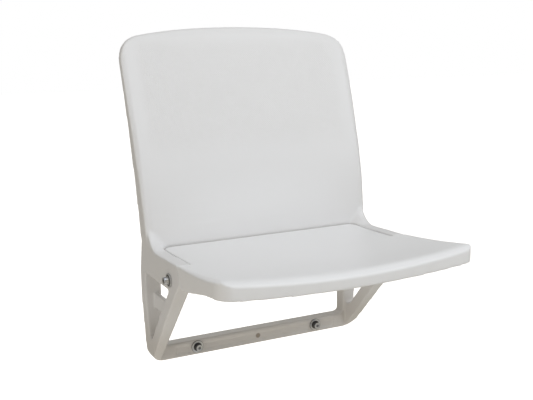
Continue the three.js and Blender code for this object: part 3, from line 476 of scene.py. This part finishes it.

# %% [markdown]
# One material serves every bolt, so it has to know each axis. The two wall bolts run
# from front to back at the same distance to either side, at z = 0. The two hinge bolts
# share one axis from side to side. A point gets the painted shade of the axis nearer to it.

# %% Painted shade on the zinc
HINGE_SHADE_SHIFT = 0.0012  # at the hinge the painted shade lies this much further out
BOLT_SHADE_COLOUR = (0.035, 0.034, 0.032)
BOLT_SHADE_SHARE = 0.85
BOLT_SHADE_ROUGHNESS = 0.3


def distance_from_axis(tree, first, second):
    """How far a point is from an axis, from its offsets across that axis."""
    offset = tree.nodes.new("ShaderNodeCombineXYZ")
    tree.links.new(first, offset.inputs["X"])
    tree.links.new(second, offset.inputs["Y"])
    length = tree.nodes.new("ShaderNodeVectorMath")
    length.operation = "LENGTH"
    tree.links.new(offset.outputs[0], length.inputs[0])
    return length.outputs["Value"]


low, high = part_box("wall_bolt_left")
wall_x = (low.x + high.x) / 2
low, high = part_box("pivot_bolt_left")
hinge_y, hinge_z = (low.y + high.y) / 2, (low.z + high.z) / 2
place = tree.nodes.new("ShaderNodeTexCoord")
split = tree.nodes.new("ShaderNodeSeparateXYZ")
tree.links.new(place.outputs["Object"], split.inputs[0])
x, y, z = split.outputs["X"], split.outputs["Y"], split.outputs["Z"]
beside = add_math(tree, "SUBTRACT", add_math(tree, "ABSOLUTE", x), wall_x)
from_wall_bolt = distance_from_axis(tree, beside, z)
behind = add_math(tree, "SUBTRACT", y, hinge_y)
above = add_math(tree, "SUBTRACT", z, hinge_z)
from_hinge = add_math(tree, "SUBTRACT", distance_from_axis(tree, behind, above), HINGE_SHADE_SHIFT)
# Painted shade in the corner round each head and a painted shadow at each wall washer's rim, laid dark over
# the zinc.
head_shade = add_group(tree, shade_ring)
tree.links.new(add_math(tree, "MINIMUM", from_wall_bolt, from_hinge), head_shade.inputs["Distance"])
rim_shadow = add_group(tree, shade_ring, Inner=RIM_SHADOW[0], Outer=RIM_SHADOW[1])
tree.links.new(from_wall_bolt, rim_shadow.inputs["Distance"])
bolt_shade = add_math(tree, "MAXIMUM", head_shade.outputs["Shade"], rim_shadow.outputs["Shade"])
covered = add_math(tree, "MULTIPLY", bolt_shade, BOLT_SHADE_SHARE)
tree.links.new(lay_over(tree, tones.outputs["Color"], BOLT_SHADE_COLOUR, covered), shader.inputs["Base Color"])
dulled = add_math(tree, "ADD", dulled, add_math(tree, "MULTIPLY", bolt_shade, BOLT_SHADE_ROUGHNESS))
tree.links.new(dulled, shader.inputs["Roughness"])
print("wall bolts", round(wall_x * 1000, 1), "mm to either side")

# %% [markdown]
# ## The moulded frame
#
# Backrest, arms, struts and cross bar are one moulding. A moulder rounds every edge and
# fills every inner corner, because sharp ones crack. Bevelling so many crossing edges by
# hand would be hopeless, so the measured solid is copied, its loose triangles are merged,
# and it is recast in small even cells. Smoothing those cells then gives each edge and
# each inner corner its soft radius at once.

# %% Recast the moulded frame
MERGE_DISTANCE = 0.00002


def recast(name, cell, rounds, keep):
    """A softened copy of a measured solid: even cells, smoothed, then thinned where flat."""
    only(cad[name])
    bpy.ops.object.duplicate()
    piece = bpy.context.object
    for key in list(piece.keys()):
        del piece[key]
    piece.parent = None
    piece.data.materials.clear()
    bpy.ops.object.mode_set(mode="EDIT")
    bpy.ops.mesh.select_all(action="SELECT")
    bpy.ops.mesh.remove_doubles(threshold=MERGE_DISTANCE)
    leave()
    apply_modifier(piece, "REMESH", mode="VOXEL", voxel_size=cell, adaptivity=0)
    apply_modifier(piece, "SMOOTH", factor=0.5, iterations=rounds)
    apply_modifier(piece, "DECIMATE", ratio=keep)
    bpy.ops.object.shade_smooth()
    return piece


moulded_frame = recast("back_frame", cell=0.0019, rounds=4, keep=0.6)
moulded_frame.data.materials.append(frame_plastic)
hand_over(moulded_frame, "moulded_frame", "wall_side", "shell", "back_frame")

# %% [markdown]
# ## The diamond grip
#
# The front of the backrest is covered with tiny raised diamonds, about four millimetres
# from one to the next, so that a coat doesn't slide on it. A texture of light and dark
# can't catch the light on their slopes, so they are real: a net of points is dropped
# onto the back, the crossings sink a hair below its surface and the middle of every
# mesh of the net is lifted. Towards the top and the sides they die away quickly, and
# towards the smooth lower third slowly.

# %% Drop a net of points onto the back
GRIP_PITCH = 0.0042
GRIP_RISE = 0.00032
GRIP_SINK = 0.00012
GRIP_LOW_Z = 0.32
GRIP_HIGH_Z = 0.585
GRIP_HALF_WIDTH = 0.222
GRIP_LOW_FADE = 0.09
GRIP_EDGE_FADE = GRIP_LOW_FADE / 3
FACING = 0.9  # a face points in a direction when its normal has this much of it


def fade(distance, width):
    """Rises softly from 0 to 1 over a width."""
    share = min(1, max(0, distance / width))
    return share * share * (3 - 2 * share)


def diamond_strength(spot):
    """How much of its full height a diamond has at a place on the back."""
    low_end = fade(spot.z - GRIP_LOW_Z, GRIP_LOW_FADE)
    high_end = fade(GRIP_HIGH_Z - spot.z, GRIP_EDGE_FADE)
    return low_end * high_end * fade(GRIP_HALF_WIDTH - abs(spot.x), GRIP_EDGE_FADE)


def drop_net(carrier):
    """Points on the front of a piece, every second one lifted, and which of them is at each crossing."""
    surface = BVHTree.FromObject(carrier, bpy.context.evaluated_depsgraph_get())
    half = GRIP_PITCH / 2
    columns = int(GRIP_HALF_WIDTH / half)
    rows = int((GRIP_HIGH_Z - GRIP_LOW_Z) / half)
    points, place_of = [], {}
    for j in range(rows + 1):
        for i in range(-columns, columns + 1):
            start = Vector((i * half, -1, GRIP_LOW_Z + j * half))
            hit, normal = surface.ray_cast(start, Vector((0, 1, 0)))[:2]
            if hit is None or abs(normal.y) < FACING:
                continue
            lift = -GRIP_SINK
            if (i + j) % 2:
                lift += (GRIP_RISE + GRIP_SINK) * diamond_strength(hit)
            place_of[i, j] = len(points)
            points.append(hit - Vector((0, lift, 0)))
    return points, place_of


points, place_of = drop_net(moulded_frame)
print("points on the back:", len(points))

# %% Join them into low pyramids
faces = []
for (i, j), top in place_of.items():
    around = [(i - 1, j), (i, j - 1), (i + 1, j), (i, j + 1)]
    if (i + j) % 2 == 0 or not all(key in place_of for key in around):
        continue
    corners = [place_of[key] for key in around]
    faces += [(corners[k], corners[(k + 1) % 4], top) for k in range(4)]
mesh = bpy.data.meshes.new("diamond_grip")
mesh.from_pydata(points, [], faces)
diamonds = bpy.data.objects.new("diamond_grip", mesh)
scene.collection.objects.link(diamonds)
pick(diamonds, "FACE", lambda face: True)
bpy.ops.mesh.delete_loose()
leave()
diamonds.data.materials.append(frame_plastic)
hand_over(diamonds, "diamond_grip", "wall_side", "shell")

# %% [markdown]
# ## The seat pan and its cover
#
# The pan is a second moulding that lies between the arms. The same recasting softens its
# rolled rim, and the thin gap to the frame stays open. The cover that closes it from
# below is plainer and gets more rounds of smoothing, so that no ripples show on it.

# %% Recast the seat pan and its cover
seat_shell = recast("seat_pan", cell=0.0018, rounds=5, keep=0.6)
seat_shell.data.materials.append(seat_plastic)
hand_over(seat_shell, "seat_shell", "seat_side", "seat", "seat_pan")

under_cover = recast("seat_cover", cell=0.0020, rounds=10, keep=0.5)
under_cover.data.materials.append(cover_plastic)
hand_over(under_cover, "under_cover", "seat_side", "cover", "seat_cover")

# %% [markdown]
# ## Cap screws and washers
#
# The frame hangs on two M8 socket cap screws, and two more carry the hinge. A cap screw
# has a drum-shaped head with a rounded rim, a shank drawn out of its bearing face, and a
# hexagon pressed into its top. We start with the head's cylinder, inset and extrude its
# underside for the shank, bevel the rim and cut the hexagon.

# %% Helpers for turned parts
NEAR = 0.00001  # metres: places closer than this are taken as one
SMOOTH_BELOW = 35  # degrees between two faces


def add_cylinder(corners, radius, height, z):
    """A new cylinder or prism about the z axis, with its middle at a height."""
    bpy.ops.object.select_all(action="DESELECT")
    bpy.ops.mesh.primitive_cylinder_add(vertices=corners, radius=radius, depth=height, location=(0, 0, z))
    return bpy.context.object


def stand_cylinder(corners, radius, height):
    """A new cylinder or prism that stands on z = 0."""
    piece = add_cylinder(corners, radius, height, height / 2)
    bpy.ops.object.transform_apply(location=True, rotation=True, scale=True)
    return piece


def on_circle(edge, radius, z):
    """Whether an edge lies at a height and not inside a radius about the z axis."""
    middle = (edge.verts[0].co + edge.verts[1].co) / 2
    return abs(middle.z - z) < NEAR and middle.xy.length > radius * 0.9


def cut(piece, tool):
    """Cuts a piece with a tool and removes the tool."""
    apply_modifier(piece, "BOOLEAN", operation="DIFFERENCE", object=tool, solver="EXACT")
    bpy.data.objects.remove(tool)


def smooth(piece, degrees=SMOOTH_BELOW):
    only(piece)
    bpy.ops.object.shade_smooth_by_angle(angle=math.radians(degrees))


# %% Model the two lengths of cap screw
HEAD_RADIUS = 0.0065
HEAD_HEIGHT = 0.008
HEAD_ROUNDING = 0.0007
SHANK_RADIUS = 0.004
TIP_ROUNDING = 0.0006
KEY_HOLE_RADIUS = 0.0034
KEY_HOLE_DEPTH = 0.0046


def make_cap_screw(length):
    """A cap screw whose bearing face is at z = 0 and whose head points up."""
    screw = stand_cylinder(48, HEAD_RADIUS, HEAD_HEIGHT)
    pick(screw, "FACE", lambda face: face.normal.z < -FACING)
    bpy.ops.mesh.inset(thickness=HEAD_RADIUS - SHANK_RADIUS)
    bpy.ops.mesh.extrude_region_move(TRANSFORM_OT_translate={"value": (0, 0, -length)})
    leave()
    tip = pick(screw, "EDGE", lambda edge: on_circle(edge, SHANK_RADIUS, -length))
    bpy.ops.mesh.bevel(offset=TIP_ROUNDING, segments=2)
    leave()
    rim = pick(screw, "EDGE", lambda edge: on_circle(edge, HEAD_RADIUS, HEAD_HEIGHT))
    bpy.ops.mesh.bevel(offset=HEAD_ROUNDING, segments=4, profile=0.6)
    leave()
    print("edges rounded:", rim + tip)
    cut(screw, add_cylinder(6, KEY_HOLE_RADIUS, KEY_HOLE_DEPTH * 2, HEAD_HEIGHT))
    smooth(screw)
    return screw


low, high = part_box("wall_bolt_left")
wall_screw = make_cap_screw(high.y - low.y - HEAD_HEIGHT)
low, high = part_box("pivot_bolt_left")
hinge_screw = make_cap_screw(high.x - low.x - HEAD_HEIGHT)

# %% [markdown]
# A washer starts as a disc. Its two faces are inset and their middles deleted, and the
# two open rims that this leaves are bridged to make the hole.

# %% Model one washer
WASHER_RADIUS = 0.012
WASHER_THICKNESS = 0.002
WASHER_ROUNDING = 0.0004
HOLE_RADIUS = 0.0043


def make_ring(outer, inner, thickness, edge):
    """A flat ring with softened outer rims, on z = 0 and above."""
    ring = stand_cylinder(64, outer, thickness)
    pick(ring, "FACE", lambda face: abs(face.normal.z) > FACING)
    bpy.ops.mesh.inset(thickness=outer - inner)
    bpy.ops.mesh.delete(type="FACE")
    leave()
    pick(ring, "EDGE", lambda e: len(e.link_faces) == 1)
    bpy.ops.mesh.bridge_edge_loops()
    leave()
    pick(ring, "EDGE", lambda e: on_circle(e, outer, 0) or on_circle(e, outer, thickness))
    bpy.ops.mesh.bevel(offset=edge, segments=3)
    leave()
    pick(ring, "FACE", lambda face: True)
    bpy.ops.mesh.normals_make_consistent(inside=False)
    leave()
    smooth(ring)
    return ring


washer = make_ring(WASHER_RADIUS, HOLE_RADIUS, WASHER_THICKNESS, WASHER_ROUNDING)
print("washer:", triangles(washer), "triangles")

# %% [markdown]
# Each screw and washer is modelled once and copied, and every copy takes its place from
# the measured piece it stands for: it starts at the near end of that piece's box, or,
# if it has a head, the head fills the far end.

# %% Put the screws and washers in place


def end_middle(measured, direction, far):
    """The middle of the far or the near end of a measured piece, along one of the axes."""
    low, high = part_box(measured)
    spot = (low + high) / 2
    for axis in range(3):
        if direction[axis]:
            spot[axis] = (high if (direction[axis] > 0) == far else low)[axis]
    return spot


def dress(measured, name, body, slot, pattern, material, direction, head=0):
    """Puts a copy of a pattern in a measured piece's place, its z axis along a direction."""
    base = end_middle(measured, direction, far=head > 0) - head * Vector(direction)
    only(pattern)
    bpy.ops.object.duplicate()
    piece = bpy.context.object
    turn = Vector((0, 0, 1)).rotation_difference(Vector(direction)).to_matrix().to_4x4()
    piece.matrix_world = Matrix.Translation(base) @ turn
    piece.data.materials.clear()
    piece.data.materials.append(material)
    hand_over(piece, name, body, slot, measured)


FRONT = (0, -1, 0)
for end, side in (("left", 1), ("right", -1)):
    out = (side, 0, 0)
    dress(f"wall_bolt_{end}", f"wall_screw_{end}", "wall_side", "zinc", wall_screw, zinc, FRONT, HEAD_HEIGHT)
    dress(f"wall_washer_{end}", f"wall_disc_{end}", "wall_side", "zinc", washer, zinc, FRONT)
    dress(f"pivot_bolt_{end}", f"hinge_screw_{end}", "wall_side", "zinc", hinge_screw, zinc, out, HEAD_HEIGHT)
    dress(f"pivot_washer_{end}", f"hinge_disc_{end}", "wall_side", "zinc", washer, zinc, out)
for pattern in (wall_screw, hinge_screw, washer):
    bpy.data.objects.remove(pattern)

# %% [markdown]
# ## Small parts under the seat
#
# Six pan-head screws hold the cover: a domed head, made by bevelling a cylinder's rim
# generously, with a cross pressed into it by two crossed bars, and a shank that ends in
# a point.

# %% Model one cover screw
COVER_HEAD_HEIGHT = 0.0026
COVER_SHANK_RADIUS = 0.002
CROSS_WIDTH_SHARE = 0.22  # of the head's radius
POINT_SHARE = 0.2  # of the shank's length
POINT_WIDTH_SHARE = 0.35


def press_cross(screw, radius, top):
    """Cuts two crossed slots into the top of a head."""
    for turn in (0, math.pi / 2):
        bpy.ops.object.select_all(action="DESELECT")
        bpy.ops.mesh.primitive_cube_add(size=1, location=(0, 0, top), rotation=(0, 0, turn))
        bar = bpy.context.object
        bar.scale = (radius, radius * CROSS_WIDTH_SHARE, top)
        bpy.ops.object.transform_apply(location=True, rotation=True, scale=True)
        cut(screw, bar)


def make_pan_screw(head_radius, head_height, shank_radius, length):
    """A pan-head screw with its bearing face on z = 0 and its head pointing up."""
    screw = stand_cylinder(40, head_radius, head_height)
    pick(screw, "FACE", lambda face: face.normal.z < -FACING)
    bpy.ops.mesh.inset(thickness=head_radius - shank_radius)
    for share in (1 - POINT_SHARE, POINT_SHARE):
        bpy.ops.mesh.extrude_region_move(TRANSFORM_OT_translate={"value": (0, 0, -length * share)})
    bpy.ops.transform.resize(value=(POINT_WIDTH_SHARE, POINT_WIDTH_SHARE, 1))
    leave()
    pick(screw, "EDGE", lambda e: on_circle(e, head_radius, head_height))
    bpy.ops.mesh.bevel(offset=head_height * 0.6, segments=5)
    leave()
    press_cross(screw, head_radius, head_height)
    smooth(screw)
    return screw


low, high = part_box("cover_screw_front_left")
shank_length = high.z - low.z - COVER_HEAD_HEIGHT
cover_screw = make_pan_screw((high.x - low.x) / 2, COVER_HEAD_HEIGHT, COVER_SHANK_RADIUS, shank_length)
print("cover screw:", triangles(cover_screw), "triangles")

# %% [markdown]
# The hinge nuts are hardly seen, so they are plain six-sided prisms with a round hole.
# The rubber buffers are drums with softened rims.

# %% Model one nut and one buffer
NUT_WIDTH = 0.013  # from one flat to the opposite one
BUFFER_ROUNDING = 0.0008


def make_nut(flats, bore, thickness):
    """A plain hexagon nut on z = 0."""
    nut = stand_cylinder(6, flats / math.sqrt(3), thickness)
    cut(nut, add_cylinder(40, bore, thickness * 3, 0))
    smooth(nut, 30)
    return nut


def is_level(edge):
    return abs(edge.verts[0].co.z - edge.verts[1].co.z) < NEAR


def make_drum(radius, height, edge):
    """A short solid drum on z = 0 with rounded rims."""
    drum = stand_cylinder(48, radius, height)
    pick(drum, "EDGE", is_level)
    bpy.ops.mesh.bevel(offset=edge, segments=3)
    leave()
    smooth(drum)
    return drum


low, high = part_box("pivot_nut_left")
nut = make_nut(NUT_WIDTH, HOLE_RADIUS, high.x - low.x)
low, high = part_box("stop_buffer_left")
drum = make_drum((high.x - low.x) / 2, high.z - low.z, BUFFER_ROUNDING)
print("nut:", triangles(nut), "triangles, buffer:", triangles(drum), "triangles")

# %% Put the small parts in place
UP, DOWN = (0, 0, 1), (0, 0, -1)
for end, side in (("left", 1), ("right", -1)):
    inwards = (-side, 0, 0)
    for row in ("rear", "mid", "front"):
        where = f"{row}_{end}"
        dress(
            f"cover_screw_{where}", f"pan_screw_{where}", "seat_side", "zinc",
            cover_screw, zinc, DOWN, COVER_HEAD_HEIGHT,
        )
    dress(f"pivot_nut_{end}", f"hinge_nut_{end}", "wall_side", "zinc", nut, zinc, inwards)
    dress(f"stop_buffer_{end}", f"rubber_stop_{end}", "wall_side", "buffer", drum, rubber, UP)
for pattern in (cover_screw, nut, drum):
    bpy.data.objects.remove(pattern)

# %% [markdown]
# The flanged nylon bushes in the hinge are hardly seen, so they keep their measured
# shape and only get their material.

# %% Dress the bushes
for end in ("left", "right"):
    for material_slot in cad[f"pivot_bush_{end}"].material_slots:
        material_slot.material = nylon
print("bushes in", nylon.name)
